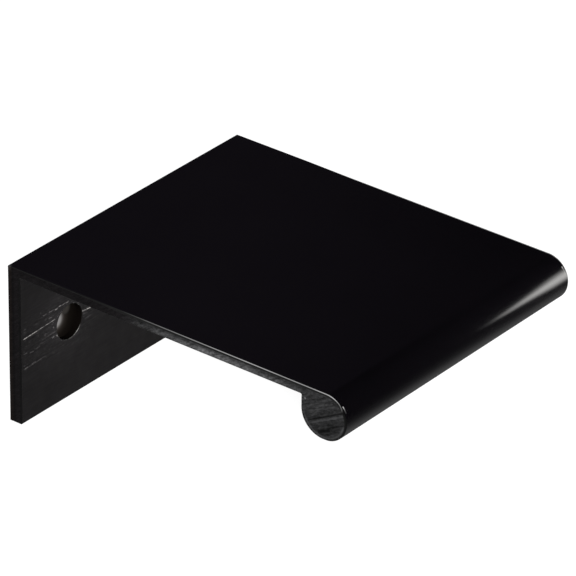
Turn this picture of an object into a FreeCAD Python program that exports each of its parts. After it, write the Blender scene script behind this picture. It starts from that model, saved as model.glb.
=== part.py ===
import FreeCAD, Part
import os

import Sketcher

# Tab pull: one piece of extruded aluminium, cut to length.
#
# A thin plate lies over the top edge of a drawer or door front.  Behind the
# front a thicker flange hangs from the plate and takes two screws.  In front
# the plate ends in a solid bead, which is the finger grip: its front is half
# round, its back is upright, and a rounded heel joins the two underneath.
#
# Frame: +X along the extrusion, +Z up, -Y towards the hand.
# Origin: midway between the two screw holes, on the flange's front face,
# which is the face that bears on the back of the drawer front.

doc = FreeCAD.newDocument("tab_pull_model")

# ---------------------------------------------------------------- dimensions
sheet = doc.addObject("Spreadsheet::Sheet", "dims")
rows = [
    ("pull_length", 38.1, "length of the cut piece, along X"),
    ("pull_depth", 44.6, "bead's front to the flange's back, along Y"),
    ("flange_height", 18.7, "top of the plate to the flange's lower edge"),
    ("plate_thickness", 1.0, "the thin web over the panel's edge"),
    ("flange_thickness", 1.6, "the screwed leg"),
    ("bead_radius", 2.625, "half-round front of the bead"),
    ("bead_width", 5.7, "bead's front to its upright back face"),
    ("heel_radius", 2.8, "quarter round under the bead's back"),
    ("hole_diameter", 4.1, "plain round screw hole"),
    ("hole_spacing", 22.2, "between the two hole centres"),
    ("hole_drop", 9.65, "top of the plate down to the hole centres"),
    ("crown_break", 0.15, "rounding of the cut ends round the top and bead"),
    ("edge_break", 0.1, "chamfer on the other edges of the cut ends"),
]
for i, (alias, value, note) in enumerate(rows, start=1):
    sheet.set("A%d" % i, alias)
    sheet.set("B%d" % i, str(value))
    sheet.set("C%d" % i, note)
    sheet.setAlias("B%d" % i, alias)
doc.recompute()
d = {alias: float(value) for alias, value, note in rows}

# ---------------------------------------------------------------- the body
body = doc.addObject("PartDesign::Body", "Body")
body.Label = "tab_pull"


def origin_plane(role):
    for feature in body.Origin.OriginFeatures:
        if feature.Role == role:
            return feature
    raise RuntimeError("no origin plane " + role)


# Profile in the Y-Z plane (sketch x is Y, sketch y is Z).
top = d["hole_drop"]
low = top - d["flange_height"]
back = d["flange_thickness"]
front = back - d["pull_depth"]
rf = d["bead_radius"]
rb = d["heel_radius"]
grip = front + d["bead_width"]

V = FreeCAD.Vector
p = [
    V(back, top, 0),                         # 0 top corner at the back
    V(front + rf, top, 0),                   # 1 top of the half round
    V(front + rf, top - 2 * rf, 0),          # 2 foot of the half round
    V(grip - rb, top - 2 * rf, 0),           # 3 heel begins
    V(grip, top - 2 * rf + rb, 0),           # 4 heel ends on the upright back
    V(grip, top - d["plate_thickness"], 0),  # 5 bead meets the plate
    V(0, top - d["plate_thickness"], 0),     # 6 plate meets the flange
    V(0, low, 0),                            # 7 lower edge, front
    V(back, low, 0),                         # 8 lower edge, back
]
profile = body.newObject("Sketcher::SketchObject", "ProfileSketch")
profile.Label = "profile"
profile.AttachmentSupport = [(origin_plane("YZ_Plane"), "")]
profile.MapMode = "FlatFace"


def arc(centre, radius, a0, a1):
    circle = Part.Circle(V(centre[0], centre[1], 0), V(0, 0, 1), radius)
    return Part.ArcOfCircle(circle, a0, a1)


PI = 3.141592653589793
g_top = profile.addGeometry(Part.LineSegment(p[0], p[1]))
g_nose = profile.addGeometry(arc((front + rf, top - rf), rf, PI / 2, 3 * PI / 2))
g_foot = profile.addGeometry(Part.LineSegment(p[2], p[3]))
g_heel = profile.addGeometry(arc((grip - rb, top - 2 * rf + rb), rb, 3 * PI / 2, 2 * PI))
g_grip = profile.addGeometry(Part.LineSegment(p[4], p[5]))
g_under = profile.addGeometry(Part.LineSegment(p[5], p[6]))
g_face = profile.addGeometry(Part.LineSegment(p[6], p[7]))
g_edge = profile.addGeometry(Part.LineSegment(p[7], p[8]))
g_back = profile.addGeometry(Part.LineSegment(p[8], p[0]))

C = Sketcher.Constraint
profile.addConstraint([
    C("Tangent", g_top, 2, g_nose, 1),
    C("Tangent", g_nose, 2, g_foot, 1),
    C("Tangent", g_foot, 2, g_heel, 1),
    C("Tangent", g_heel, 2, g_grip, 1),
    C("Coincident", g_grip, 2, g_under, 1),
    C("Coincident", g_under, 2, g_face, 1),
    C("Coincident", g_face, 2, g_edge, 1),
    C("Coincident", g_edge, 2, g_back, 1),
    C("Coincident", g_back, 2, g_top, 1),
    C("Horizontal", g_top),
    C("Horizontal", g_foot),
    C("Vertical", g_grip),
    C("Horizontal", g_under),
    C("Vertical", g_face),
    C("Horizontal", g_edge),
    C("Vertical", g_back),
    C("PointOnObject", g_face, 1, -2),       # flange's front face on Y = 0
])


def driven(sketch, constraint, name, expression):
    index = sketch.addConstraint(constraint)
    sketch.renameConstraint(index, name)
    sketch.setExpression("Constraints." + name, expression)


driven(profile, C("DistanceY", -1, 1, g_top, 1, top), "drop", "dims.hole_drop")
driven(profile, C("DistanceX", g_face, 1, g_back, 2, back), "flange", "dims.flange_thickness")
driven(profile, C("DistanceY", g_back, 1, g_back, 2, d["flange_height"]), "height", "dims.flange_height")
driven(profile, C("DistanceY", g_under, 2, g_top, 1, d["plate_thickness"]), "plate", "dims.plate_thickness")
driven(profile, C("Radius", g_nose, rf), "nose", "dims.bead_radius")
driven(profile, C("Radius", g_heel, rb), "heel", "dims.heel_radius")
driven(profile, C("DistanceX", g_nose, 3, g_top, 1, d["pull_depth"] - rf), "reach",
       "dims.pull_depth - dims.bead_radius")
driven(profile, C("DistanceX", g_nose, 3, g_grip, 1, d["bead_width"] - rf), "width",
       "dims.bead_width - dims.bead_radius")
doc.recompute()

pad = body.newObject("PartDesign::Pad", "Extrusion")
pad.Profile = profile
pad.Type = 0
pad.Length = d["pull_length"]
pad.setExpression("Length", "dims.pull_length")
if hasattr(pad, "SideType"):
    pad.SideType = "Symmetric"
else:
    pad.Midplane = True
doc.recompute()
v_pad = pad.Shape.Volume

# Screw hole: a circle on the flange's front face, cut towards the back.
drill = body.newObject("Sketcher::SketchObject", "DrillSketch")
drill.Label = "drill"
drill.AttachmentSupport = [(origin_plane("XZ_Plane"), "")]
drill.MapMode = "FlatFace"
g_hole = drill.addGeometry(
    Part.Circle(V(-d["hole_spacing"] / 2, 0, 0), V(0, 0, 1), d["hole_diameter"] / 2))
drill.addConstraint(C("PointOnObject", g_hole, 3, -1))
driven(drill, C("DistanceX", g_hole, 3, -1, 1, d["hole_spacing"] / 2), "offset", "dims.hole_spacing / 2")
driven(drill, C("Diameter", g_hole, d["hole_diameter"]), "bore", "dims.hole_diameter")
doc.recompute()

pocket = body.newObject("PartDesign::Pocket", "ScrewHole")
pocket.Profile = drill
pocket.Type = "ThroughAll"
pocket.Reversed = False
doc.recompute()
v_disc = PI / 4 * d["hole_diameter"] ** 2 * d["flange_thickness"]
if abs(v_pad - pocket.Shape.Volume - v_disc) > 0.01 * v_disc:
    pocket.Reversed = True
    doc.recompute()
if abs(v_pad - pocket.Shape.Volume - v_disc) > 0.01 * v_disc:
    raise RuntimeError("the screw hole did not cut the flange")

# The second hole is the first one's mirror image about mid-length.
mirror = body.newObject("PartDesign::Mirrored", "SecondHole")
mirror.Originals = [pocket]
mirror.MirrorPlane = (origin_plane("YZ_Plane"), [""])
body.Tip = mirror
doc.recompute()
if abs(v_pad - mirror.Shape.Volume - 2 * v_disc) > 0.02 * v_disc:
    raise RuntimeError("the second hole is missing")


# Cut ends: the piece was sawn to length and the corners taken off.  The break
# is larger along the top and round the bead than on the flange and underside.
def end_edges(shape, crown):
    names = []
    half = d["pull_length"] / 2
    for number, edge in enumerate(shape.Edges, start=1):
        box = edge.BoundBox
        if box.XLength > 1e-4 or abs(abs(box.Center.x) - half) > 1e-4:
            continue
        on_top = box.ZMin > top - 1e-4
        on_bead = box.YMax < grip + 1e-4 and box.ZMax < top + 1e-4
        if (on_top or on_bead) == crown:
            names.append("Edge%d" % number)
    return names


crown = body.newObject("PartDesign::Fillet", "CrownBreak")
crown.Base = (mirror, end_edges(mirror.Shape, True))
crown.Radius = d["crown_break"]
crown.setExpression("Radius", "dims.crown_break")
body.Tip = crown
doc.recompute()

def foot_edges(shape):
    # the two long lower edges of the flange
    return ["Edge%d" % number for number, edge in enumerate(shape.Edges, start=1)
            if edge.BoundBox.XLength > 0.9 * d["pull_length"] and edge.BoundBox.ZMax < low + 1e-4]


rest = body.newObject("PartDesign::Chamfer", "EdgeBreak")
rest.Base = (crown, end_edges(crown.Shape, False) + foot_edges(crown.Shape))
rest.Size = d["edge_break"]
rest.setExpression("Size", "dims.edge_break")
body.Tip = rest
doc.recompute()

body.Placement = FreeCAD.Placement(V(0, 0, 0), FreeCAD.Rotation(0, 0, 0))
doc.recompute()

# ---------------------------------------------------------------- checks
for sketch in (profile, drill):
    if sketch.solve() != 0 or not sketch.FullyConstrained:
        raise RuntimeError("sketch %s is not fully constrained" % sketch.Label)
for obj in doc.Objects:
    if "Invalid" in obj.State or "Error" in obj.State:
        raise RuntimeError("%s failed: %s" % (obj.Name, obj.State))

os.makedirs("parts", exist_ok=True)
for node in (body,):
    shape = node.Shape
    if shape.isNull() or not shape.isValid() or len(shape.Solids) != 1:
        raise RuntimeError("%s has no valid single solid" % node.Label)
    shape.exportStep("parts/%s.step" % node.Label)
    box = shape.BoundBox
    print("%s  volume %.2f mm3  X %.3f..%.3f  Y %.3f..%.3f  Z %.3f..%.3f" % (
        node.Label, shape.Volume, box.XMin, box.XMax, box.YMin, box.YMax, box.ZMin, box.ZMax))
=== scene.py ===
import math

import bpy
import bmesh
import numpy as np
from mathutils import Matrix, Vector


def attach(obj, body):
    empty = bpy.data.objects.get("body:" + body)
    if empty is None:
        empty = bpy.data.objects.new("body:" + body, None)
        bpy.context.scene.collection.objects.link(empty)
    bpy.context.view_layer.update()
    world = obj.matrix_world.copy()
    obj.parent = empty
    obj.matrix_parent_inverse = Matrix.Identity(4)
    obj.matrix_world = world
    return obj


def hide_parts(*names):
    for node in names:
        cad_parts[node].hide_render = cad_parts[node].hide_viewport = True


# Tab pull of black anodised aluminium: one extruded piece, sawn to length.
# Metres, +Z up, +X along the extrusion, -Y towards the hand, origin midway
# between the screw holes on the flange's front face.

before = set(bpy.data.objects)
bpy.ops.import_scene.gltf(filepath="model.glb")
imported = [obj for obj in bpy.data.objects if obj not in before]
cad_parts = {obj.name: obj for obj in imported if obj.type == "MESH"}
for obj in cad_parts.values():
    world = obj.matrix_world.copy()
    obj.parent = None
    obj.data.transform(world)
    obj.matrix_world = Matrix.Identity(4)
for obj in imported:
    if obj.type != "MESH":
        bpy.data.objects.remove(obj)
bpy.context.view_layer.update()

MM = 0.001
LENGTH, DEPTH, HEIGHT = 38.1, 44.6, 18.7
PLATE, FLANGE = 1.0, 1.6
NOSE_R, BEAD_W, HEEL_R = 2.625, 5.7, 2.8
HOLE_D, HOLE_PITCH, DROP = 4.1, 22.2, 9.65
CROWN, BREAK, FACE_BREAK = 0.18, 0.08, 0.14

HALF = LENGTH / 2
TOP = DROP
LOW = TOP - HEIGHT
BACK = FLANGE
FRONT = BACK - DEPTH
GRIP = FRONT + BEAD_W
UNDER = TOP - PLATE


# ------------------------------------------------------------------ profile
def arc(cy, cz, r, a0, a1, n, squeeze=1.0):
    """Points of an arc in the Y-Z plane, ends included, angles in degrees."""
    out = []
    for k in range(n + 1):
        a = math.radians(a0 + (a1 - a0) * k / n)
        out.append((cy + r * squeeze * math.cos(a), cz + r * math.sin(a)))
    return out


def run(a, b, step):
    """Points strictly between a and b, about a step apart."""
    n = max(1, round(math.dist(a, b) / step))
    return [(a[0] + (b[0] - a[0]) * k / n, a[1] + (b[1] - a[1]) * k / n) for k in range(1, n)]


def profile():
    """The closed section, counter-clockwise seen from +X: [(y, z, end break)]."""
    e = BREAK          # outer corners along the extrusion
    f = 0.15           # root radius of the two inner corners
    legs = [
        (arc(BACK - e, TOP - e, e, 0, 90, 5), BREAK * 0.8),
        (arc(FRONT + NOSE_R, TOP - NOSE_R, NOSE_R, 90, 270, 60, 0.997), CROWN),
        (arc(GRIP - HEEL_R, TOP - 2 * NOSE_R + HEEL_R, HEEL_R, 270, 360, 30), BREAK),
        (arc(GRIP + f, UNDER - f, f, 180, 90, 5), BREAK),
        (arc(-f, UNDER - f, f, 90, 0, 5), BREAK),
        (arc(e, LOW + e, e, 180, 270, 5), BREAK * 0.8),
        (arc(BACK - e, LOW + e, e, 270, 360, 5), BREAK * 0.8),
    ]
    pts = []
    for i, (leg, brk) in enumerate(legs):
        for k, (y, z) in enumerate(leg):
            w = brk
            if i == 1:          # nose: shrinks below its foremost line
                a = 90 + 180 * k / (len(leg) - 1)
                w = CROWN + (BREAK - CROWN) * min(1.0, max(0.0, (a - 215) / 40))
            pts.append((y, z, w))
        nxt, nbrk = legs[(i + 1) % len(legs)]
        total = math.dist(leg[-1], nxt[0])
        for y, z in run(leg[-1], nxt[0], 0.5):
            # the end break grows or shrinks over 0.8 mm where two sizes meet
            k = min(1.0, math.dist(leg[-1], (y, z)) / min(0.8, total))
            k2 = min(1.0, math.dist((y, z), nxt[0]) / 0.8)
            if i == 0:      # top: the break widens from the flange to the plate's front half
                w = brk + (CROWN - brk) * min(1.0, max(0.0, (-8.0 - y) / 6.0))
            elif i == 4:    # flange's front face: wider break down the end
                w = BREAK + (FACE_BREAK - BREAK) * min(k, k2)
            else:
                w = BREAK
            pts.append((y, z, w))
    return pts


SECTION = profile()


def outward(pts):
    """Mitred outward normals of the closed section."""
    n = len(pts)
    out = []
    for i in range(n):
        a, b, c = pts[i - 1], pts[i], pts[(i + 1) % n]
        t0 = Vector((b[0] - a[0], b[1] - a[1])).normalized()
        t1 = Vector((c[0] - b[0], c[1] - b[1])).normalized()
        n0, n1 = Vector((t0.y, -t0.x)), Vector((t1.y, -t1.x))
        m = (n0 + n1).normalized()
        out.append(m / max(0.5, m.dot(n0)))
    return out


# ------------------------------------------------------------------ body mesh
def body_mesh():
    pts = SECTION
    nor = outward(pts)
    n = len(pts)
    steps = 5
    bm = bmesh.new()
    rings = []

    def ring(side, sx, share):
        vs = []
        for (y, z, w), m in zip(pts, nor):
            x = side * (HALF - w * (1 - sx))
            vs.append(bm.verts.new(((x) * MM, (y - m.x * w * share) * MM, (z - m.y * w * share) * MM)))
        return vs

    # from the -X face inwards, then along the piece, then out to the +X face
    order = []
    for k in range(steps, -1, -1):
        a = math.pi / 2 * k / steps
        order.append((-1, math.sin(a), 1 - math.cos(a)))
    for k in range(0, steps + 1):
        a = math.pi / 2 * k / steps
        order.append((1, math.sin(a), 1 - math.cos(a)))
    for side, s, c in order:
        rings.append(ring(side, s, c))
    for a, b in zip(rings, rings[1:]):
        for i in range(n):
            j = (i + 1) % n
            bm.faces.new((a[i], a[j], b[j], b[i]))
    bm.faces.new(list(reversed(rings[0])))
    bm.faces.new(rings[-1])
    bmesh.ops.recalc_face_normals(bm, faces=bm.faces)
    mesh = bpy.data.meshes.new("tab_pull_body")
    bm.to_mesh(mesh)
    bm.free()
    return mesh


def hole_cutter(x):
    """A lathed cutter for one screw hole, with the rims' tiny rounding."""
    r, e, out = HOLE_D / 2, 0.05, 0.6
    prof = [(-out, 0.0), (-out, r + e)]
    prof += [(-e * 0.0 - 0.0, r + e)]
    for k in range(1, 5):
        a = math.pi / 2 * k / 4
        prof.append((e * math.sin(a), r + e - e * (1 - math.cos(a)) - 0.0))
    prof[2] = (0.0, r + e)
    prof += [(FLANGE - p[0], p[1]) for p in reversed(prof[2:])]
    prof += [(FLANGE + out, r + e), (FLANGE + out, 0.0)]
    seg = 72
    bm = bmesh.new()
    rings = []
    for y, rad in prof:
        if rad == 0:
            rings.append([bm.verts.new((x * MM, y * MM, 0))])
            continue
        rings.append([bm.verts.new(((x + rad * math.cos(2 * math.pi * s / seg)) * MM, y * MM,
                                    rad * math.sin(2 * math.pi * s / seg) * MM)) for s in range(seg)])
    for a, b in zip(rings, rings[1:]):
        for s in range(seg):
            t = (s + 1) % seg
            if len(a) == 1:
                bm.faces.new((a[0], b[s], b[t]))
            elif len(b) == 1:
                bm.faces.new((a[s], b[0], a[t]))
            else:
                bm.faces.new((a[s], b[s], b[t], a[t]))
    bmesh.ops.recalc_face_normals(bm, faces=bm.faces)
    mesh = bpy.data.meshes.new("cutter")
    bm.to_mesh(mesh)
    bm.free()
    o = bpy.data.objects.new("cutter", mesh)
    bpy.context.scene.collection.objects.link(o)
    return o


pull = bpy.data.objects.new("tab_pull_body", body_mesh())
bpy.context.scene.collection.objects.link(pull)
cutters = [hole_cutter(-HOLE_PITCH / 2), hole_cutter(HOLE_PITCH / 2)]
for c in cutters:
    mod = pull.modifiers.new("hole", "BOOLEAN")
    mod.operation = "DIFFERENCE"
    mod.solver = "EXACT"
    mod.object = c
dg = bpy.context.evaluated_depsgraph_get()
cut = bpy.data.meshes.new_from_object(pull.evaluated_get(dg))
pull.modifiers.clear()
pull.data = cut
cut.name = "tab_pull_body"
for c in cutters:
    bpy.data.objects.remove(c)


# ------------------------------------------------------------------ regions
ANODISED, SAWN, BROKEN, INNER, BORE, RIM = range(6)


def sort_faces(mesh):
    """Gives each face the finish of its place: skin, sawn end, broken edge, inner flange face, bore, hole rim."""
    for p in mesh.polygons:
        c, nrm = p.center / MM, p.normal
        near = min(math.hypot(c.x + s * HOLE_PITCH / 2, c.z) for s in (-1, 1))
        if abs(nrm.x) > 0.9999 and abs(c.x) > HALF - 1e-3:
            p.material_index = SAWN
        elif abs(c.x) > HALF - CROWN - 1e-3 and abs(nrm.x) > 0.02:
            p.material_index = BROKEN
        elif -0.01 < c.y < FLANGE + 0.01 and near < HOLE_D / 2 + 0.052 and abs(nrm.y) < 0.999:
            p.material_index = RIM if abs(nrm.y) > 0.02 else BORE
        elif nrm.y < -0.99 and abs(c.y) < 0.01:
            p.material_index = INNER
        else:
            p.material_index = ANODISED
        p.use_smooth = True


# ------------------------------------------------------------------ node help
class Tree:
    def __init__(self, material):
        self.t = material.node_tree
        self.n = self.t.nodes
        self.l = self.t.links

    def add(self, kind, **values):
        node = self.n.new(kind)
        for k, v in values.items():
            if k.startswith("i_"):
                node.inputs[k[2:]].default_value = v
            elif k.startswith("p"):
                setattr(node, k[2:], v)
        return node

    def put(self, value, socket):
        if isinstance(value, bpy.types.NodeSocket):
            self.l.new(value, socket)
        else:
            socket.default_value = value

    def math(self, op, a, b=None, c=None, clamp=False):
        node = self.n.new("ShaderNodeMath")
        node.operation = op
        node.use_clamp = clamp
        for s, v in zip(node.inputs, (a, b, c)):
            if v is not None:
                self.put(v, s)
        return node.outputs[0]

    def ramp(self, value, stops, interp="LINEAR"):
        node = self.n.new("ShaderNodeValToRGB")
        node.color_ramp.interpolation = interp
        el = node.color_ramp.elements
        while len(el) < len(stops):
            el.new(0.5)
        for e, (pos, v) in zip(el, stops):
            e.position = pos
            e.color = (v, v, v, 1) if isinstance(v, (int, float)) else (*v, 1)
        self.put(value, node.inputs["Fac"])
        return node.outputs["Color"]

    def smooth(self, value, lo, hi):
        """0 below lo, 1 above hi, smooth between."""
        node = self.n.new("ShaderNodeMapRange")
        node.interpolation_type = "SMOOTHSTEP"
        self.put(value, node.inputs["Value"])
        node.inputs["From Min"].default_value = lo
        node.inputs["From Max"].default_value = hi
        return node.outputs["Result"]

    def noise(self, vector, scale, detail=4.0, rough=0.55, dims="3D"):
        node = self.n.new("ShaderNodeTexNoise")
        node.noise_dimensions = dims
        self.put(vector, node.inputs["Vector"])
        node.inputs["Scale"].default_value = scale
        node.inputs["Detail"].default_value = detail
        node.inputs["Roughness"].default_value = rough
        return node.outputs["Fac"]

    def mapped(self, vector, scale=(1, 1, 1), rot=(0, 0, 0), loc=(0, 0, 0)):
        node = self.n.new("ShaderNodeMapping")
        self.put(vector, node.inputs["Vector"])
        node.inputs["Scale"].default_value = scale
        node.inputs["Rotation"].default_value = rot
        node.inputs["Location"].default_value = loc
        return node.outputs["Vector"]

    def mix(self, fac, a, b):
        node = self.n.new("ShaderNodeMix")
        node.data_type = "RGBA"
        self.put(fac, node.inputs["Factor"])
        for v, s in ((a, node.inputs[6]), (b, node.inputs[7])):
            if isinstance(v, tuple):
                v = (*v, 1.0)
            self.put(v, s)
        return node.outputs[2]


def new_material(name, preview):
    m = bpy.data.materials.new(name)
    m.use_nodes = True
    m.diffuse_color = (*preview, 1)
    t = Tree(m)
    t.n.clear()
    out = t.n.new("ShaderNodeOutputMaterial")
    bsdf = t.n.new("ShaderNodeBsdfPrincipled")
    t.l.new(bsdf.outputs[0], out.inputs["Surface"])
    co = t.n.new("ShaderNodeTexCoord").outputs["Object"]
    return m, t, bsdf, co


def bump(t, bsdf, height, distance, strength=1.0):
    node = t.n.new("ShaderNodeBump")
    node.inputs["Strength"].default_value = strength
    node.inputs["Distance"].default_value = distance
    t.put(height, node.inputs["Height"])
    t.l.new(node.outputs[0], bsdf.inputs["Normal"])


# ------------------------------------------------------------------ finishes
def split(t, vector):
    sep = t.n.new("ShaderNodeSeparateXYZ")
    t.put(vector, sep.inputs[0])
    return sep.outputs["X"], sep.outputs["Y"], sep.outputs["Z"]


def level(t, value, lo, hi, stops, interp="LINEAR"):
    """A value read from (place, value) stops along a coordinate, places in mm between lo and hi."""
    pos = t.math("DIVIDE", t.math("SUBTRACT", value, lo * MM), (hi - lo) * MM, clamp=True)
    return t.ramp(pos, [((p - lo) / (hi - lo), v) for p, v in stops], interp)


def falloff(t, value, full, none, top=1.0):
    """top up to `full`, fading to 0 at `none` (metres)."""
    node = t.n.new("ShaderNodeMapRange")
    node.interpolation_type = "SMOOTHSTEP"
    t.put(value, node.inputs["Value"])
    node.inputs["From Min"].default_value = full
    node.inputs["From Max"].default_value = none
    node.inputs["To Min"].default_value = top
    node.inputs["To Max"].default_value = 0.0
    return node.outputs["Result"]


def stroke(t, u, v, a, b, half, power):
    """A short soft line from a to b (mm) in the plane of u and v."""
    dx, dz = (b[0] - a[0]) * MM, (b[1] - a[1]) * MM
    size = math.hypot(dx, dz)
    ux, uz = dx / size, dz / size
    pu, pv = t.math("SUBTRACT", u, a[0] * MM), t.math("SUBTRACT", v, a[1] * MM)
    along = t.math("ADD", t.math("MULTIPLY", pu, ux), t.math("MULTIPLY", pv, uz))
    across = t.math("ABSOLUTE", t.math("SUBTRACT", t.math("MULTIPLY", pv, ux), t.math("MULTIPLY", pu, uz)))
    off = t.math("ABSOLUTE", t.math("SUBTRACT", along, size / 2))
    body = falloff(t, across, half * 0.5 * MM, half * 1.3 * MM)
    ends = falloff(t, off, size * 0.40, size * 0.5, power)
    return t.math("MULTIPLY", body, ends)


def strongest(t, values):
    out = values[0]
    for v in values[1:]:
        out = t.math("MAXIMUM", out, v)
    return out


def spots(t, vector, places):
    """Soft round spots: ((x, y, z), radius, strength) in mm."""
    out = []
    for place, radius, power in places:
        d = t.n.new("ShaderNodeVectorMath")
        d.operation = "DISTANCE"
        t.put(vector, d.inputs[0])
        d.inputs[1].default_value = [c * MM for c in place]
        out.append(falloff(t, d.outputs["Value"], radius * 0.4 * MM, radius * MM, power))
    return strongest(t, out)


def worn_and_lit_edge(t, x, y, z):
    """How bright the outer edge of the cut ends is, partly worn-through metal and partly a painted highlight for the
    light the rounded edge catches: nothing at the flange, bright along the plate's front half and over the bead's
    crown, where the line runs out onto the sawn face."""
    depth = t.math("SUBTRACT", HALF * MM, t.math("ABSOLUTE", x))  # 0 on the sawn face
    place = level(t, z, TOP - 1.3, TOP, [(TOP - 1.3, 0.02), (TOP - 0.9, 0.09), (TOP - 0.6, 0.145), (TOP, 0.160)])
    away = t.math("ABSOLUTE", t.math("SUBTRACT", depth, t.math("MULTIPLY", place, MM)))
    slim = t.math("SUBTRACT", 1.0, t.math("MULTIPLY", falloff(t, y, -42.0 * MM, -40.6 * MM), 0.35))
    line = falloff(t, t.math("DIVIDE", away, slim), 0.040 * MM, 0.080 * MM)
    # painted highlight: the line's brightness along Y follows the light on the edge, with some real wear
    wear_and_highlight = level(t, y, FRONT, BACK, [
        (FRONT, 0.012), (-42.45, 0.030), (-42.1, 0.065), (-41.7, 0.13), (-41.2, 0.26), (-39.9, 0.23), (-38.4, 0.19), (-36.5, 0.165),
        (-32.7, 0.23), (-28.9, 0.226), (-25.1, 0.172), (-21.3, 0.127), (-17.4, 0.068), (-15.5, 0.030),
        (-13.6, 0.004), (BACK, 0.0)])
    up = t.smooth(z, (TOP - 1.35) * MM, (TOP - 0.95) * MM)
    grain = t.noise(t.mapped(t.n.new("ShaderNodeTexCoord").outputs["Object"], scale=(700, 700, 700)), 1.0, 2.0, 0.5)
    rough = t.math("ADD", 0.72, t.math("MULTIPLY", grain, 0.56))
    return t.math("MULTIPLY", t.math("MULTIPLY", line, wear_and_highlight), t.math("MULTIPLY", up, rough))


def grey(t, value, red=1.0, green=1.0, blue=1.0):
    """A colour from one brightness and three factors."""
    node = t.n.new("ShaderNodeCombineColor")
    for k, c in enumerate((red, green, blue)):
        t.put(value if c == 1.0 else t.math("MULTIPLY", value, c), node.inputs[k])
    return node.outputs[0]


def anodised():
    """Extruded skin: near-black satin anodising with faint die lines along the extrusion, and painted highlights along
    the cut ends.
    """
    m, t, b, co = new_material("anodised_skin", (0.01, 0.01, 0.011))
    x, y, z = split(t, co)
    lines = t.noise(t.mapped(co, scale=(60, 5200, 5200)), 1.0, 3.0, 0.6)
    cloud = t.noise(co, 90.0, 3.0, 0.5)
    pits = t.noise(co, 9000.0, 2.0, 0.5)
    skin = t.mix(cloud, (0.0011, 0.0009, 0.0013), (0.0018, 0.0015, 0.0021))
    # painted highlights: the edge line of the cut ends (partly worn metal), a painted glint beside it on the bead's
    # nose, and painted highlights on the back top corners
    painted_glints = spots(t, co, [((s * 18.67, -42.33 - 0.37 * k / 6, TOP - 0.88 - 0.53 * k / 6), 0.100, v) for s in (-1, 1)
                          for k, v in enumerate((0.26, 0.22, 0.12, 0.065, 0.04, 0.03, 0.02))]
                  + [((s * HALF, BACK - 0.05, TOP), 0.50, 0.022) for s in (-1, 1)])
    wear_and_highlight = t.math("MAXIMUM", worn_and_lit_edge(t, x, y, z), painted_glints)
    t.put(t.mix(wear_and_highlight, skin, (1.0, 0.99, 0.98)), b.inputs["Base Color"])
    rough = t.math("ADD", t.math("MULTIPLY", lines, 0.05), t.math("MULTIPLY", cloud, 0.04))
    t.put(t.math("ADD", rough, 0.155), b.inputs["Roughness"])
    b.inputs["IOR"].default_value = 1.5
    h = t.math("ADD", t.math("MULTIPLY", lines, 0.6), t.math("MULTIPLY", pits, 0.4))
    bump(t, b, h, 0.0000012)
    return m


SAW = math.radians(27.5)       # the saw marks rise towards the front by this much


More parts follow.
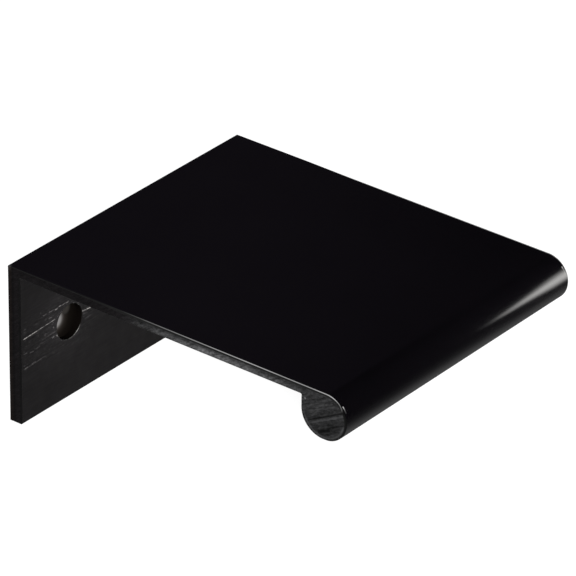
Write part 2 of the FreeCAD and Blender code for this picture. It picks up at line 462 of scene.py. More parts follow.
def sawn():
    """Cut ends: saw marks rising towards the front, dark anodising worn thin on their crests, their brightness painted
    to follow the light across the face.
    """
    m, t, b, co = new_material("sawn_end", (0.03, 0.03, 0.031))
    _, y, z = split(t, co)
    _, along, across = split(t, t.mapped(co, rot=(SAW, 0, 0)))   # along and across the marks
    warp = t.noise(co, 500.0, 2.0, 0.5)
    bent = t.math("ADD", across, t.math("MULTIPLY", t.math("SUBTRACT", warp, 0.5), 0.0004))
    comb = t.n.new("ShaderNodeCombineXYZ")
    t.put(along, comb.inputs["Y"])
    t.put(bent, comb.inputs["Z"])
    lined = comb.outputs[0]
    bands = t.noise(t.mapped(lined, scale=(1, 220, 1500)), 1.0, 1.0, 0.5)
    coarse = t.noise(t.mapped(lined, scale=(1, 750, 3900)), 1.0, 2.0, 0.55)
    fine = t.noise(t.mapped(lined, scale=(1, 1700, 8000)), 1.0, 3.0, 0.6)
    mott = t.noise(co, 3800.0, 2.0, 0.6)
    v = t.math("ADD", t.math("ADD", t.math("MULTIPLY", coarse, 0.40), t.math("MULTIPLY", fine, 0.25)),
               t.math("ADD", t.math("MULTIPLY", mott, 0.22), t.math("MULTIPLY", bands, 0.13)))
    grain = t.ramp(v, [(0.36, 0.22), (0.43, 0.52), (0.50, 0.92), (0.56, 1.40), (0.64, 2.2)])
    calm = t.math("ADD", 0.94, t.math("MULTIPLY", t.math("SUBTRACT", grain, 0.94), 0.42))
    rough_cut = falloff(t, y, -16.5 * MM, -12.5 * MM)            # the saw tore more ahead of here
    grain = t.math("ADD", calm, t.math("MULTIPLY", rough_cut, t.math("SUBTRACT", grain, calm)))
    # painted reflection level along the cut end, from the flange to the bead, standing for the light the face reflects
    painted_level = level(t, y, FRONT, BACK, [
        (FRONT, 0.027), (-40.0, 0.030), (-37.6, 0.033), (-36.5, 0.046), (-32.7, 0.054), (-28.9, 0.078),
        (-25.1, 0.087), (-21.3, 0.066), (-17.4, 0.050), (-15.5, 0.040), (-13.6, 0.031), (0.70, 0.0305), (0.95, 0.018), (1.20, 0.031), (BACK, 0.034)])
    # plate: painted shading, a light lower half and painted shade under the top corner and along the bottom edge
    wave = t.math("MULTIPLY", t.math("SUBTRACT", t.noise(co, 900.0, 2.0, 0.5), 0.5), 0.0005)
    zz = t.math("ADD", z, wave)
    plate = level(t, zz, UNDER - 0.2, TOP, [
        (UNDER - 0.2, 1.0), (UNDER, 0.75), (UNDER + 0.12, 1.05), (UNDER + 0.30, 1.45), (UNDER + 0.48, 1.20),
        (UNDER + 0.62, 0.70), (UNDER + 0.80, 0.62), (TOP, 0.85)])
    ahead = falloff(t, t.math("ABSOLUTE", t.math("SUBTRACT", y, -26.5 * MM)), 9.5 * MM, 12.5 * MM)
    painted_level = t.math("MULTIPLY", painted_level, t.math("ADD", 1.0, t.math("MULTIPLY", ahead, t.math("SUBTRACT", plate, 1.0))))
    # bead: painted shade, dimmer towards the foot and the front
    low = level(t, z, TOP - 5.3, TOP, [(TOP - 5.3, 0.60), (TOP - 3.6, 0.74), (TOP - 2.2, 0.92), (TOP - 0.9, 1.0), (TOP, 1.0)])
    on_bead = falloff(t, t.math("ABSOLUTE", t.math("SUBTRACT", y, (FRONT + 2.5) * MM)), 3.2 * MM, 3.9 * MM)
    painted_level = t.math("MULTIPLY", painted_level, t.math("ADD", 1.0, t.math("MULTIPLY", on_bead, t.math("SUBTRACT", low, 1.0))))
    marks = t.math("MULTIPLY", painted_level, grain)
    # one long light mark with its dark lip, a nick, a painted highlight at the back top corner, and the burnished line
    # inside the heel
    bright = strongest(t, [
        stroke(t, y, z, (-38.1, TOP - 4.15), (-43.2, TOP - 1.40), 0.12, 0.028),
        stroke(t, y, z, (-38.3, TOP - 2.6), (-41.9, TOP - 0.85), 0.10, 0.012),
        stroke(t, y, z, (-37.9, TOP - 3.05), (-40.2, TOP - 1.9), 0.09, 0.012),
        spots(t, co, [q for s in (-1, 1) for q in (
            ((s * HALF, -37.8, TOP - 1.33), 0.17, 0.11), ((s * HALF, BACK - 0.15, TOP - 0.2), 0.42, 0.058))])])
    dark = strongest(t, [
        stroke(t, y, z, (-38.0, TOP - 3.83), (-43.2, TOP - 1.02), 0.09, 0.70),
        stroke(t, y, z, (-39.4, TOP - 4.62), (-41.1, TOP - 3.9), 0.20, 0.80),
        stroke(t, y, z, (-40.4, TOP - 3.95), (-43.0, TOP - 2.6), 0.10, 0.55)])
    heel = t.n.new("ShaderNodeVectorMath")
    heel.operation = "DISTANCE"
    flat = t.n.new("ShaderNodeCombineXYZ")
    t.put(y, flat.inputs["Y"])
    t.put(z, flat.inputs["Z"])
    t.put(flat.outputs[0], heel.inputs[0])
    heel.inputs[1].default_value = (0, (GRIP - HEEL_R - 0.1) * MM, (TOP - 2 * NOSE_R + HEEL_R) * MM)
    ring = t.math("ABSOLUTE", t.math("SUBTRACT", heel.outputs["Value"], (HEEL_R - 0.27) * MM))
    below = t.smooth(z, (TOP - 2.3) * MM, (TOP - 3.6) * MM)
    arc_line = t.math("MULTIPLY", falloff(t, ring, 0.04 * MM, 0.16 * MM, 0.030), below)
    marks = t.math("MULTIPLY", marks, t.math("SUBTRACT", 1.0, dark))
    marks = t.math("ADD", marks, t.math("ADD", t.math("MULTIPLY", bright, t.math("ADD", 0.4, t.math("MULTIPLY", fine, 1.2))), arc_line))
    tint = t.n.new("ShaderNodeCombineColor")
    violet = t.math("SUBTRACT", 1.0, rough_cut)                  # the dye shows where the cut is calm
    warm = t.smooth(y, 0.95 * MM, 1.20 * MM)                     # a brown cast along the flange's back edge
    t.put(t.math("MULTIPLY", marks, t.math("ADD", 1.0, t.math("ADD", t.math("MULTIPLY", violet, 0.06),
                                                              t.math("MULTIPLY", warm, 0.14)))), tint.inputs[0])
    t.put(t.math("MULTIPLY", marks, t.math("SUBTRACT", 1.0, t.math("MULTIPLY", violet, 0.06))), tint.inputs[1])
    t.put(t.math("MULTIPLY", marks, t.math("SUBTRACT", 1.03, t.math("MULTIPLY", warm, 0.14))), tint.inputs[2])
    t.put(tint.outputs[0], b.inputs["Base Color"])
    b.inputs["Metallic"].default_value = 1.0
    t.put(t.math("ADD", t.math("MULTIPLY", fine, 0.16), 0.20), b.inputs["Roughness"])
    h = t.math("ADD", t.math("MULTIPLY", coarse, 0.7), t.math("MULTIPLY", fine, 0.3))
    bump(t, b, h, 0.000010)
    return m


def broken():
    """The taken-off corners of the cut ends: dark, painted lighter near the top, with the edge line along the plate's
    front half and the bead, partly worn metal and partly painted highlight, and painted highlights on the back top
    corners.
    """
    m, t, b, co = new_material("broken_edge", (0.03, 0.03, 0.03))
    x, y, z = split(t, co)
    grain = t.noise(t.mapped(co, scale=(900, 900, 900)), 1.0, 2.0, 0.5)
    # painted sheen: the breaks near the top are made lighter for the light they catch
    top_sheen = t.smooth(z, (TOP - 1.3) * MM, (TOP - 0.9) * MM)
    rest = t.math("ADD", 0.0022, t.math("MULTIPLY", top_sheen, 0.0036))
    f = t.math("ADD", worn_and_lit_edge(t, x, y, z), t.math("MULTIPLY", rest, t.math("ADD", 0.6, t.math("MULTIPLY", grain, 0.8))))
    # painted highlight on the back top corners
    corner_highlight = spots(t, co, [((s * HALF, BACK - 0.05, TOP), 0.55, 0.022) for s in (-1, 1)])
    t.put(grey(t, t.math("MAXIMUM", f, corner_highlight)), b.inputs["Base Color"])
    b.inputs["Specular IOR Level"].default_value = 0.06
    t.put(t.math("ADD", t.math("MULTIPLY", grain, 0.1), 0.25), b.inputs["Roughness"])
    bump(t, b, grain, 0.000003)
    return m


# Handling scratches on the flange's face: (x, z) to (x, z), half width, strength (mm; z from the plate's top)
SCRATCHES = [
    ((-18.75, -8.58), (-15.60, -8.45), 0.048, 0.90),
    ((-16.20, -8.47), (-13.30, -8.34), 0.050, 0.62),
    ((-9.15, -9.27), (-7.60, -9.42), 0.085, 0.90),
    ((-8.90, -9.72), (-8.10, -9.80), 0.080, 0.14),
    ((-14.45, -7.12), (-11.00, -7.13), 0.040, 0.22),
    ((-13.23, -10.48), (-13.09, -10.42), 0.110, 0.75),
    ((-13.76, -9.22), (-13.64, -9.16), 0.100, 0.45),
    ((-14.45, -7.08), (-13.75, -7.13), 0.060, 0.30),
    ((-13.45, -7.24), (-12.95, -7.20), 0.060, 0.50),
    ((-12.80, -7.08), (-12.40, -7.12), 0.060, 0.50),
    ((-12.25, -7.15), (-11.90, -7.13), 0.055, 0.40),
    ((-11.60, -7.16), (-11.20, -7.15), 0.060, 0.50),
    ((-18.75, -12.25), (-14.80, -12.05), 0.045, 0.19),
    ((-18.40, -12.20), (-17.80, -12.17), 0.075, 0.26),
    ((-17.30, -12.12), (-16.60, -12.06), 0.070, 0.28),
    ((-18.60, -10.36), (-17.90, -10.45), 0.070, 0.16),
    ((-17.60, -10.60), (-16.90, -10.66), 0.070, 0.14),
    ((-16.60, -10.55), (-15.90, -10.50), 0.070, 0.12),
    ((-15.80, -9.95), (-13.20, -9.82), 0.045, 0.14),
    ((-14.60, -7.80), (-14.00, -7.84), 0.075, 0.22),
    ((-15.40, -7.12), (-14.80, -7.10), 0.070, 0.30),
    ((-8.70, -10.40), (-7.50, -10.34), 0.070, 0.10),
    ((3.20, -13.70), (8.90, -13.45), 0.060, 0.35),
    ((13.60, -7.70), (18.20, -7.58), 0.055, 0.30),
    ((-4.20, -6.50), (1.60, -6.60), 0.050, 0.25),
]


def inner():
    """Flange's front face: rubbed anodising, fine lines along the extrusion and handling scratches."""
    m, t, b, co = new_material("flange_face", (0.02, 0.02, 0.02))
    x, _, z = split(t, co)
    lines = t.noise(t.mapped(co, scale=(260, 1, 4200)), 1.0, 4.0, 0.65)
    mott = t.noise(co, 650.0, 4.0, 0.6)
    speck = t.noise(t.mapped(co, scale=(1500, 1, 3600)), 1.0, 3.0, 0.7)
    zt = t.math("SUBTRACT", z, TOP * MM)
    marks = strongest(t, [stroke(t, x, zt, a, c, half, power) for a, c, half, power in SCRATCHES])
    broke = t.math("ADD", t.math("MULTIPLY", t.smooth(speck, 0.36, 0.56), 0.7), 0.3)
    marks = t.math("MULTIPLY", marks, broke)
    # rubbed zone: a band at the height of the holes, strongest beside them
    band = falloff(t, t.math("ABSOLUTE", t.math("SUBTRACT", z, 0.3 * MM)), 1.6 * MM, 4.4 * MM)
    sides = falloff(t, t.math("ABSOLUTE", t.math("SUBTRACT", t.math("ABSOLUTE", x), 14.0 * MM)), 4.0 * MM, 8.0 * MM)
    rub = t.math("MULTIPLY", band, t.math("ADD", 0.25, t.math("MULTIPLY", sides, 0.75)))
    v = t.math("ADD", t.math("MULTIPLY", lines, 0.5), t.math("MULTIPLY", mott, 0.5))
    calm = t.ramp(v, [(0.34, 0.84), (0.5, 1.0), (0.66, 1.18)])
    busy = t.ramp(t.math("ADD", t.math("MULTIPLY", lines, 0.5), t.math("MULTIPLY", speck, 0.5)),
                  [(0.36, 0.62), (0.48, 0.91), (0.56, 1.13), (0.66, 1.8)])
    tone = t.math("ADD", calm, t.math("MULTIPLY", rub, t.math("SUBTRACT", busy, calm)))
    # painted reflection: brightness along X follows the light the face reflects, lightest near x = -9 mm and darker
    # towards the far end
    side = level(t, x, -HALF, HALF, [(-HALF, 0.095), (-14.0, 0.094), (-9.0, 0.110), (-3.0, 0.100), (HALF, 0.085)])
    # rubbed lighter round the outer side of each hole
    across = t.math("SUBTRACT", t.math("ABSOLUTE", x), (HOLE_PITCH / 2 + 1.8) * MM)
    up = t.math("SUBTRACT", z, 0.6 * MM)
    away = t.math("SQRT", t.math("ADD", t.math("MULTIPLY", across, across), t.math("MULTIPLY", up, up)))
    halo = t.math("ADD", falloff(t, away, 1.0 * MM, 7.5 * MM, 0.58), falloff(t, away, 0.8 * MM, 2.8 * MM, 0.42))
    f = t.math("MULTIPLY", t.math("MULTIPLY", side, tone), t.math("ADD", 1.03, halo))
    tint = t.n.new("ShaderNodeCombineColor")
    t.put(t.math("MULTIPLY", f, 1.03), tint.inputs[0])
    t.put(t.math("MULTIPLY", f, 0.97), tint.inputs[1])
    t.put(f, tint.inputs[2])
    # painted glints: bright specks in the rubbed zone, set in the colour and then joined with the scratches
    glint = t.math("MULTIPLY", t.smooth(speck, 0.60, 0.74), t.math("MULTIPLY", rub, 0.35))
    worn = t.math("MAXIMUM", marks, glint, clamp=True)
    t.put(t.mix(worn, tint.outputs[0], (0.300, 0.285, 0.270)), b.inputs["Base Color"])
    t.put(t.math("SUBTRACT", 1.0, worn, clamp=True), b.inputs["Metallic"])
    t.put(t.math("ADD", t.math("MULTIPLY", lines, 0.12), 0.26), b.inputs["Roughness"])
    bump(t, b, v, 0.000006)
    return m


def bore():
    """Drilled wall: dull, faintly brown, with fine turned rings."""
    m, t, b, co = new_material("drilled_bore", (0.01, 0.01, 0.01))
    _, y, _ = split(t, co)
    rings = t.noise(t.mapped(co, scale=(1, 9000, 1)), 1.0, 3.0, 0.6)
    t.put(t.mix(rings, (0.0012, 0.0009, 0.0008), (0.0022, 0.0017, 0.0014)), b.inputs["Base Color"])
    b.inputs["Specular IOR Level"].default_value = 0.0
    t.put(t.math("ADD", t.math("MULTIPLY", rings, 0.10), 0.24), b.inputs["Roughness"])
    bump(t, b, rings, 0.000006)
    return m


def rim():
    """Lips of the screw holes: black, with bright burrs where the drill broke the skin, partly painted glints for the
    light the lips catch.
    """
    m, t, b, co = new_material("hole_lip", (0.02, 0.02, 0.02))
    places = []
    for cx in (-HOLE_PITCH / 2, HOLE_PITCH / 2):
        for deg, size, power in ((-64, 0.45, 0.17), (-52, 0.42, 0.25), (-40, 0.34, 0.10), (-152, 0.30, 0.30),
                                 (92, 0.25, 0.35), (70, 0.35, 0.12), (112, 0.35, 0.15), (45, 0.35, 0.10),
                                 (-85, 0.5, 0.10), (-110, 0.5, 0.06)):
            a = math.radians(deg)
            places.append(((cx + HOLE_D / 2 * math.cos(a), 0.0, HOLE_D / 2 * math.sin(a)), size, power))
    # bright burrs on the lips, partly painted glints
    burr_and_glint = spots(t, co, places)
    grain = t.noise(co, 2500.0, 3.0, 0.6)
    burr_and_glint = t.math("MULTIPLY", burr_and_glint, t.math("ADD", 0.4, grain), clamp=True)
    t.put(t.mix(burr_and_glint, (0.005, 0.0046, 0.0042), (0.50, 0.49, 0.47)), b.inputs["Base Color"])
    b.inputs["Specular IOR Level"].default_value = 0.1
    t.put(t.math("ADD", t.math("MULTIPLY", grain, 0.2), 0.30), b.inputs["Roughness"])
    bump(t, b, grain, 0.000004)
    return m


pull.data.materials.clear()
for m in (anodised(), sawn(), broken(), inner(), bore(), rim()):
    pull.data.materials.append(m)
sort_faces(pull.data)

def settle_normals(mesh):
    """Corner normals weighted by the square of the face areas: flat faces keep their true normals beside the
    tiny rounded edges."""
    total = [Vector((0, 0, 0)) for _ in mesh.vertices]
    for p in mesh.polygons:
        w = (p.area * 1e6) ** 2
        for i in p.vertices:
            total[i] += p.normal * w
    mesh.normals_split_custom_set_from_vertices([v.normalized() for v in total])


settle_normals(pull.data)

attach(pull, "root")
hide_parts("tab_pull")

# ------------------------------------------------------------------ stage
def plain(name, colour, emission=0.0, fade=None, fade_v=None):
    """A stage material: matt, or glowing, with optional brightness ramps along U and V as (position, level) stops."""
    m = bpy.data.materials.new(name)
    m.use_nodes = True
    t = Tree(m)
    t.n.clear()
    out = t.n.new("ShaderNodeOutputMaterial")
    if emission:
        e = t.n.new("ShaderNodeEmission")
        e.inputs["Color"].default_value = (*colour, 1)
        e.inputs["Strength"].default_value = emission
        if fade:
            uv = t.n.new("ShaderNodeUVMap")
            sep = t.n.new("ShaderNodeSeparateXYZ")
            t.put(uv.outputs[0], sep.inputs[0])
            lit = t.ramp(sep.outputs["X"], fade)
            if fade_v:
                lit = t.math("MULTIPLY", lit, t.ramp(sep.outputs["Y"], fade_v))
            t.put(t.math("MULTIPLY", lit, emission), e.inputs["Strength"])
        t.l.new(e.outputs[0], out.inputs["Surface"])
        m.cycles.emission_sampling = "NONE"
    else:
        d = t.n.new("ShaderNodeBsdfDiffuse")
        d.inputs["Color"].default_value = (*colour, 1)
        t.l.new(d.outputs[0], out.inputs["Surface"])
    return m


def quad(name, centre, normal, up, width, height, material):
    """A flat card: centre and sizes in metres, facing its normal, U along its width."""
    nz = Vector(normal).normalized()
    ux = Vector(up).cross(nz).normalized()
    uy = nz.cross(ux)
    c = Vector(centre)
    corners = ((-1, -1), (1, -1), (1, 1), (-1, 1))
    vs = [c + ux * sx * width / 2 + uy * sy * height / 2 for sx, sy in corners]
    mesh = bpy.data.meshes.new(name)
    mesh.from_pydata([tuple(v) for v in vs], [], [(0, 1, 2, 3)])
    uv = mesh.uv_layers.new(name="UVMap")
    for loop, (sx, sy) in zip(uv.data, corners):
        loop.uv = ((sx + 1) / 2, (sy + 1) / 2)
    mesh.materials.append(material)
    o = bpy.data.objects.new(name, mesh)
    bpy.context.scene.collection.objects.link(o)
    return o


def card(name, seen_from, along, away, width, height, strength, fade=None, fade_v=None, shift=(0, 0), up=(0, 0, 1)):
    """A reflector card that shows in the metal's gloss only: it faces a point of the object
    (mm) from the given direction and distance (mm), moved by shift (mm) in its own plane."""
    n = -Vector(along).normalized()
    ux = Vector(up).cross(n).normalized()
    uy = n.cross(ux)
    centre = (Vector(seen_from) - n * away + ux * shift[0] + uy * shift[1]) * MM
    o = quad(name, centre, n, up, width * MM, height * MM, plain(name, (1, 1, 1), strength, fade, fade_v))
    o.visible_camera = False
    o.visible_diffuse = False
    o.visible_shadow = False
    return o


floor_z = (LOW - 0.05) * MM
floor = quad("floor", (0, 0, floor_z), (0, 0, 1), (0, 1, 0), 3.0, 3.0, plain("floor", (0.20, 0.20, 0.20)))
floor.visible_glossy = False
ft = Tree(floor.data.materials[0])
geo = ft.n.new("ShaderNodeNewGeometry")
clear = ft.n.new("ShaderNodeBsdfTransparent")
glow = ft.n.new("ShaderNodeEmission")
glow.inputs["Strength"].default_value = 0.86
both = ft.n.new("ShaderNodeAddShader")
mixer = ft.n.new("ShaderNodeMixShader")
diffuse = next(x for x in ft.n if x.type == "BSDF_DIFFUSE")
outn = next(x for x in ft.n if x.type == "OUTPUT_MATERIAL")
ft.l.new(diffuse.outputs[0], both.inputs[0])
ft.l.new(glow.outputs[0], both.inputs[1])
ft.l.new(geo.outputs["Backfacing"], mixer.inputs[0])
ft.l.new(both.outputs[0], mixer.inputs[1])
ft.l.new(clear.outputs[0], mixer.inputs[2])
ft.l.new(mixer.outputs[0], outn.inputs["Surface"])
floor.data.materials[0].cycles.emission_sampling = "NONE"

# pale surround beyond the floor
bpy.ops.mesh.primitive_uv_sphere_add(segments=64, ring_count=32, radius=1.45, location=(0, 0, 0))
dome = bpy.context.object
dome.name = "surround"
dome.data.materials.append(plain("surround", (1, 1, 1), 1.1))
dome.visible_glossy = dome.visible_diffuse = dome.visible_shadow = False
dome.visible_transmission = True

# ------------------------------------------------------------------ light
world = bpy.data.worlds.new("studio")
bpy.context.scene.world = world
world.use_nodes = True
wt = world.node_tree
wt.nodes.clear()
wo = wt.nodes.new("ShaderNodeOutputWorld")
bg = wt.nodes.new("ShaderNodeBackground")
tc = wt.nodes.new("ShaderNodeTexCoord")
sep = wt.nodes.new("ShaderNodeSeparateXYZ")
wl = wt.links


def world_ramp(socket, stops):
    """Brightness along one axis of the direction, as (component, value) stops."""
    scale = wt.nodes.new("ShaderNodeMapRange")
    scale.inputs["From Min"].default_value = -1.0
    scale.inputs["From Max"].default_value = 1.0
    grade = wt.nodes.new("ShaderNodeValToRGB")
    el = grade.color_ramp.elements
    while len(el) < len(stops):
        el.new(0.5)
    for e, (p, v) in zip(el, stops):
        e.position = (p + 1) / 2
        e.color = (v, v, v, 1)
    wl.new(socket, scale.inputs["Value"])
    wl.new(scale.outputs[0], grade.inputs["Fac"])
    return grade.outputs["Color"]


wl.new(tc.outputs["Generated"], sep.inputs[0])
down = world_ramp(sep.outputs["Z"], [
    (-1.0, 0.35), (-0.74, 0.36), (-0.70, 0.30), (-0.643, 0.26), (-0.559, 0.178), (-0.45, 0.092), (-0.322, 0.058),
    (-0.18, 0.014), (0.0, 0.005), (1.0, 0.005)])
behind = world_ramp(sep.outputs["Y"], [(-1.0, 1.0), (-0.1, 1.0), (0.1, 0.80), (0.25, 0.55), (0.4, 0.42), (1.0, 0.42)])
studio = world_ramp(sep.outputs["Z"], [
    (-1.0, 0.34), (-0.6, 0.40), (-0.25, 0.36), (-0.05, 0.18), (0.08, 0.09), (0.35, 0.15), (0.7, 0.32), (1.0, 0.46)])
turn = wt.nodes.new("ShaderNodeMapRange")
turn.interpolation_type = "SMOOTHSTEP"
turn.inputs["From Min"].default_value = 0.22
turn.inputs["From Max"].default_value = 0.46
turn.inputs["To Min"].default_value = 1.0
turn.inputs["To Max"].default_value = 0.0
wl.new(sep.outputs["X"], turn.inputs["Value"])


def world_math(op, a, b):
    node = wt.nodes.new("ShaderNodeMath")
    node.operation = op
    for value, socket in ((a, node.inputs[0]), (b, node.inputs[1])):
        if isinstance(value, float):
            socket.default_value = value
        else:
            wl.new(value, socket)
    return node.outputs[0]


toward_far_end = world_math("MULTIPLY", world_math("MULTIPLY", down, behind),
                            world_math("SUBTRACT", 1.0, turn.outputs["Result"]))
elsewhere = world_math("MULTIPLY", studio, turn.outputs["Result"])
wl.new(world_math("ADD", toward_far_end, elsewhere), bg.inputs["Strength"])
wl.new(bg.outputs[0], wo.inputs["Surface"])

VIEW = Vector((0.6876553, 0.5368176, -0.4888323))      # the photograph's line of sight


def sun(name, towards, strength, spread):
    light = bpy.data.lights.new(name, "SUN")
    light.energy = strength
    light.angle = math.radians(spread)
    o = bpy.data.objects.new(name, light)
    o.rotation_mode = "QUATERNION"
    o.rotation_quaternion = Vector(towards).to_track_quat("-Z", "Y")
    bpy.context.scene.collection.objects.link(o)
    return o


key = sun("key", VIEW, 7.4, 12)
key.visible_glossy = False       # the gloss sees the cards instead


def hidden_quad(name, centre, normal, up, width, height, material):
    """A reflector that only the metal's gloss sees, placed in mm."""
    o = quad(name, Vector(centre) * MM, normal, up, width * MM, height * MM, material)
    o.visible_camera = o.visible_diffuse = o.visible_shadow = False
    return o


# streak along the far part of the bead: a strip ahead of it, tallest and brightest towards the far end
gx0, gx1, gz0, gz1 = 11.0, 37.0, 2.5, 13.5
streak = hidden_quad("grip_card", ((gx0 + gx1) / 2, -50.0, (gz0 + gz1) / 2), (0, 1, 0), (0, 0, 1), gx1 - gx0, gz1 - gz0,
                     plain("grip_card", (1.0, 0.99, 0.97), 7.9, [(1 - (x - gx0) / (gx1 - gx0), v / 7.3) for x, v in (
                         (gx1, 7.2), (24.8, 7.1), (22.9, 6.9), (21.0, 6.2), (19.1, 5.3), (17.1, 4.0), (15.2, 2.9),
                         (13.3, 0.8), (gx0, 0.05))],
                           [((z - gz0) / (gz1 - gz0), v) for z, v in (
                               (2.5, 0.0), (3.9, 0.12), (5.85, 0.60), (7.64, 1.0), (9.4, 0.88), (11.4, 0.33), (13.5, 0.0))]))
mid = 8.05
columns = [(gx1, 1.02), (24.9, 0.95), (22.9, 0.76), (21.9, 0.67), (20.7, 0.58), (19.5, 0.51), (17.8, 0.43), (14.3, 0.26),
           (gx0, 0.14)]
wedge = bpy.data.meshes.new("grip_card")
wedge.from_pydata([(x * MM, -50.0 * MM, (mid + (z - mid) * k) * MM) for x, k in columns for z in (gz0, mid, gz1)], [],
                  [(3 * i + j, 3 * i + j + 1, 3 * i + j + 4, 3 * i + j + 3) for i in range(len(columns) - 1) for j in (0, 1)])
uv = wedge.uv_layers.new(name="UVMap")
for loop, place in zip(wedge.loops, uv.data):
    col, row = divmod(loop.vertex_index, 3)
    place.uv = ((gx1 - columns[col][0]) / (gx1 - gx0), ((gz0, mid, gz1)[row] - gz0) / (gz1 - gz0))
wedge.materials.append(streak.data.materials[0])
streak.data = wedge
# soft light beside the cut end: full beside the plate's front half and the bead, dim beside the flange
x0 = -HALF - 10.0
y0, y1 = -52.0, 13.0
hidden_quad("end_card", (x0, (y0 + y1) / 2, -6.0), (1, 0, 0), (0, 0, 1), y1 - y0, 30,
            plain("end_card", (1, 1, 1), 0.92, [(0.0, 1.0), ((-9.2 - y0) / (y1 - y0), 1.0), ((-7.0 - y0) / (y1 - y0), 0.27), (1.0, 0.27)]))
# soft light beside the far cut end
hidden_quad("far_card_near", (29.0, -7.0, 3.75), (-1, 0, 0), (0, 0, 1), 74, 11.5, plain("far_card_near", (1, 1, 1), 0.9))
hidden_quad("far_card_low", (120.0, -20.0, 5.0), (-1, 0, 0), (0, 0, 1), 160, 110,
            plain("far_card_low", (1, 1, 1), 0.9, [(0.0, 1.0), (1.0, 1.0)], [(0.0, 1.0), (0.52, 1.0), (0.56, 0.15), (1.0, 0.10)]))
hidden_quad("far_card_back", (120.0, 140.0, -35.0), (-1, 0, 0), (0, 0, 1), 160, 190,
            plain("far_card_back", (1, 1, 1), 0.9, [(0.0, 1.0), (1.0, 1.0)], [(0.0, 1.0), (0.70, 1.0), (0.74, 0.15), (1.0, 0.10)]))
# the dim sky that the top reflects, fading towards the far front corner
sky = card("sky_card", (0, -20.0, TOP), (0.688, 0.537, 0.489), 90, 84, 62, 0.047,
           fade=[(0.0, 0.70), (0.39, 0.70), (0.5, 0.61), (0.61, 0.49), (0.67, 0.37), (0.85, 0.22), (1.0, 0.12)],
           fade_v=[(0.0, 0.76), (0.41, 0.82), (0.5, 0.905), (0.59, 1.0), (1.0, 1.0)])
next(n for n in sky.data.materials[0].node_tree.nodes if n.type == "EMISSION").inputs["Color"].default_value = (1.0, 0.83, 1.12, 1)

# What shows through the screw holes from in front: a painted shadow, dim and warm, with a painted spot of light at the
# left, standing for the shadowed floor behind the flange and the light let through the hole. Two small discs stand
# inside each bore and face forwards only. The first has a window, and the painted spot of light is on the second,
# deeper one, so that it shows from the main camera's side only. From behind, the holes are open.
SPOT = (-2.17, 1.06)            # the painted spot of light's middle, seen in the plane of the flange's face, from the hole's centre (mm)
SLOPE = (1.164, -0.873)         # line of sight at the hole that shows: mm along X and Z per mm of depth


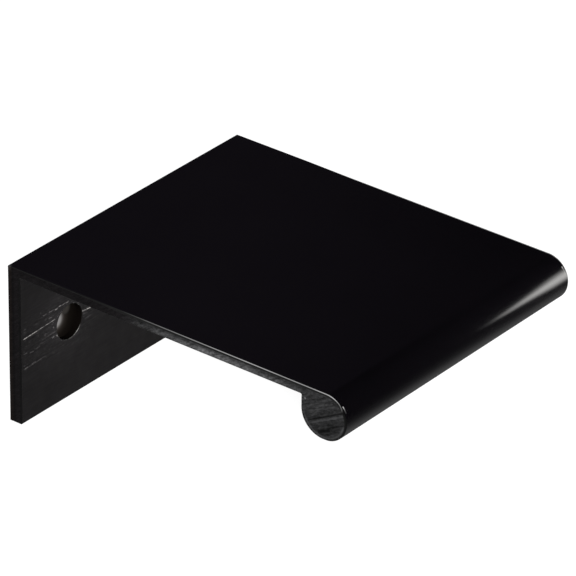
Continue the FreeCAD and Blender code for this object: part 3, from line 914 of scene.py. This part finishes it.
def in_hole(name, x, depth, window):
    r, seg = HOLE_D / 2, 72
    ring = [((x + r * math.cos(2 * math.pi * k / seg)) * MM, depth * MM, r * math.sin(2 * math.pi * k / seg) * MM)
            for k in range(seg)]
    mesh = bpy.data.meshes.new(name)
    mesh.from_pydata(ring, [], [tuple(range(seg))])
    o = bpy.data.objects.new(name, mesh)
    bpy.context.scene.collection.objects.link(o)
    if mesh.polygons[0].normal.y > 0:
        mesh.flip_normals()
    m = bpy.data.materials.new(name)
    m.use_nodes = True
    t = Tree(m)
    t.n.clear()
    out = t.n.new("ShaderNodeOutputMaterial")
    e = t.n.new("ShaderNodeEmission")
    place = t.n.new("ShaderNodeTexCoord").outputs["Object"]

    def away(u, v):
        """Distance (m) from a point of the flange's face, followed along the line of sight down to this disc."""
        d = t.n.new("ShaderNodeVectorMath")
        d.operation = "DISTANCE"
        t.put(place, d.inputs[0])
        d.inputs[1].default_value = ((x + u + SLOPE[0] * depth) * MM, depth * MM, (v + SLOPE[1] * depth) * MM)
        return d.outputs["Value"]

    from_spot, from_axis = away(*SPOT), away(0.0, 0.0)
    near = t.math("DIVIDE", from_spot, 3.0 * MM, clamp=True)
    # painted shadow, darkening away from the spot of light; the ramp after it is the painted spot of light
    outer = [(0.50, (0.0165, 0.0137, 0.0115)), (0.56, (0.0122, 0.0100, 0.0082)), (0.687, (0.0068, 0.0055, 0.0045)),
             (1.0, (0.0040, 0.0031, 0.0026))]
    light_spot_ramp = [(0.0, (0.25, 0.24, 0.24)), (0.22, (0.24, 0.232, 0.23)), (0.265, (0.18, 0.172, 0.168)),
            (0.307, (0.118, 0.110, 0.105)), (0.34, (0.074, 0.068, 0.064)), (0.37, (0.047, 0.042, 0.039)),
            (0.433, (0.0245, 0.0208, 0.0185))]
    lit = t.ramp(near, outer if window else light_spot_ramp + outer)
    inside = falloff(t, from_axis, (HOLE_D / 2 + 0.10) * MM, (HOLE_D / 2 + 0.20) * MM)   # seen past the rim from the photograph's side
    upper = t.n.new("ShaderNodeVectorMath")                      # a dimmer painted patch of light under the upper left of the rim
    upper.operation = "SCALE"
    upper.inputs[0].default_value = (0.036, 0.033, 0.030)
    t.put(falloff(t, away(-0.70, 1.87), 0.35 * MM, 1.05 * MM), upper.inputs["Scale"])
    both_lit = t.n.new("ShaderNodeVectorMath")
    both_lit.operation = "MAXIMUM"
    t.put(lit, both_lit.inputs[0])
    t.put(upper.outputs[0], both_lit.inputs[1])
    # painted shadow: the dim warm colour seen past the rim
    lit = t.mix(inside, (0.0060, 0.0048, 0.0040), both_lit.outputs[0])
    t.put(lit, e.inputs["Color"])
    clear = t.n.new("ShaderNodeBsdfTransparent")
    side = t.n.new("ShaderNodeNewGeometry")
    pick = t.n.new("ShaderNodeMixShader")
    hidden = side.outputs["Backfacing"]
    if window:
        open_part = t.math("MULTIPLY", inside, falloff(t, from_spot, 1.40 * MM, 1.52 * MM))
        hidden = t.math("MAXIMUM", hidden, open_part)
    t.put(hidden, pick.inputs[0])
    t.l.new(e.outputs[0], pick.inputs[1])
    t.l.new(clear.outputs[0], pick.inputs[2])
    t.l.new(pick.outputs[0], out.inputs["Surface"])
    m.cycles.emission_sampling = "NONE"
    mesh.materials.append(m)
    o.visible_diffuse = o.visible_shadow = False


for n, x in enumerate((-HOLE_PITCH / 2, HOLE_PITCH / 2)):
    in_hole("hole_dark_%d" % n, x, 0.85, True)
    in_hole("hole_painted_light_%d" % n, x, BACK - 0.03, False)

# ------------------------------------------------------------------ camera
# Solved from the outline in the photograph, 576 x 576, principal point at its centre.
cam_data = bpy.data.cameras.new("camera")
cam = bpy.data.objects.new("camera", cam_data)
bpy.context.scene.collection.objects.link(cam)
bpy.context.scene.camera = cam
R = ((0.6201223928, -0.7844291568, 0.0109140213),
     (-0.3775954799, -0.3106409479, -0.8723094950),
     (0.6876553436, 0.5368175662, -0.4888323118))
C = Vector((-9.5780063467, -8.4496361737, 7.0838147377))
cam.matrix_world = Matrix((
    (R[0][0], -R[1][0], -R[2][0], (C.x - 0.5) * 0.0381),
    (R[0][1], -R[1][1], -R[2][1], C.y * 0.0381 + 0.0016),
    (R[0][2], -R[1][2], -R[2][2], C.z * 0.0381 + DROP * MM),
    (0, 0, 0, 1)))
cam_data.sensor_width = 36
cam_data.lens = 5341.0 * 36 / 576
cam_data.clip_start = 0.05
cam_data.clip_end = 5.0
cam_data.dof.use_dof = False

sc = bpy.context.scene
sc.view_settings.view_transform = "Standard"
sc.view_settings.look = "None"
sc.view_settings.exposure = 0.0
sc.view_settings.gamma = 1.0
